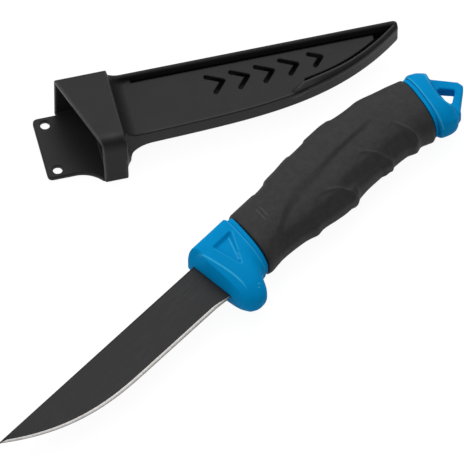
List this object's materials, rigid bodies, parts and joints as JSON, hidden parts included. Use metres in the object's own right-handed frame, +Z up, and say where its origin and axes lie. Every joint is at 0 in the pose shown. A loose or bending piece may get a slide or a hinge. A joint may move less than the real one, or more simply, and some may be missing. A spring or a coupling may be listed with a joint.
{
  "type": "fishing knife",
  "caption": "Fixed-blade fishing knife with a finger guard, rubber grip and lanyard loop, lying drawn beside its moulded sheath with a screw-on tab.",
  "frame": {"origin": "under the middle of the row's box, on the surface that the sheath and the knife lie on", "axes": "+X along the sheath towards its tip, +Y towards the straight back of the sheath, +Z up out of the surface"},
  "size_m": [0.1976, 0.1414, 0.022],
  "materials": {
    "blackened_steel": "stainless steel with a dark satin coating, bare and bright on the ground edge",
    "blue_plastic": "satin moulded plastic, cyan blue",
    "grip_rubber": "matt, finely grained soft rubber, charcoal",
    "sheath_plastic": "matt, finely eroded moulded plastic, charcoal"
  },
  "bodies": {
    "sheath": {"sheath": "sheath_plastic"},
    "knife": {"blade": "blackened_steel", "handle_core": "blue_plastic", "grip_sleeve": "grip_rubber", "pommel_cap": "blue_plastic"}
  },
  "joints": [
    {"name": "knife_draw", "type": "slide", "parent": "sheath", "child": "knife", "axis": [0.83, 0.5577, 0], "range_m": [0, 0.12]}
  ]
}
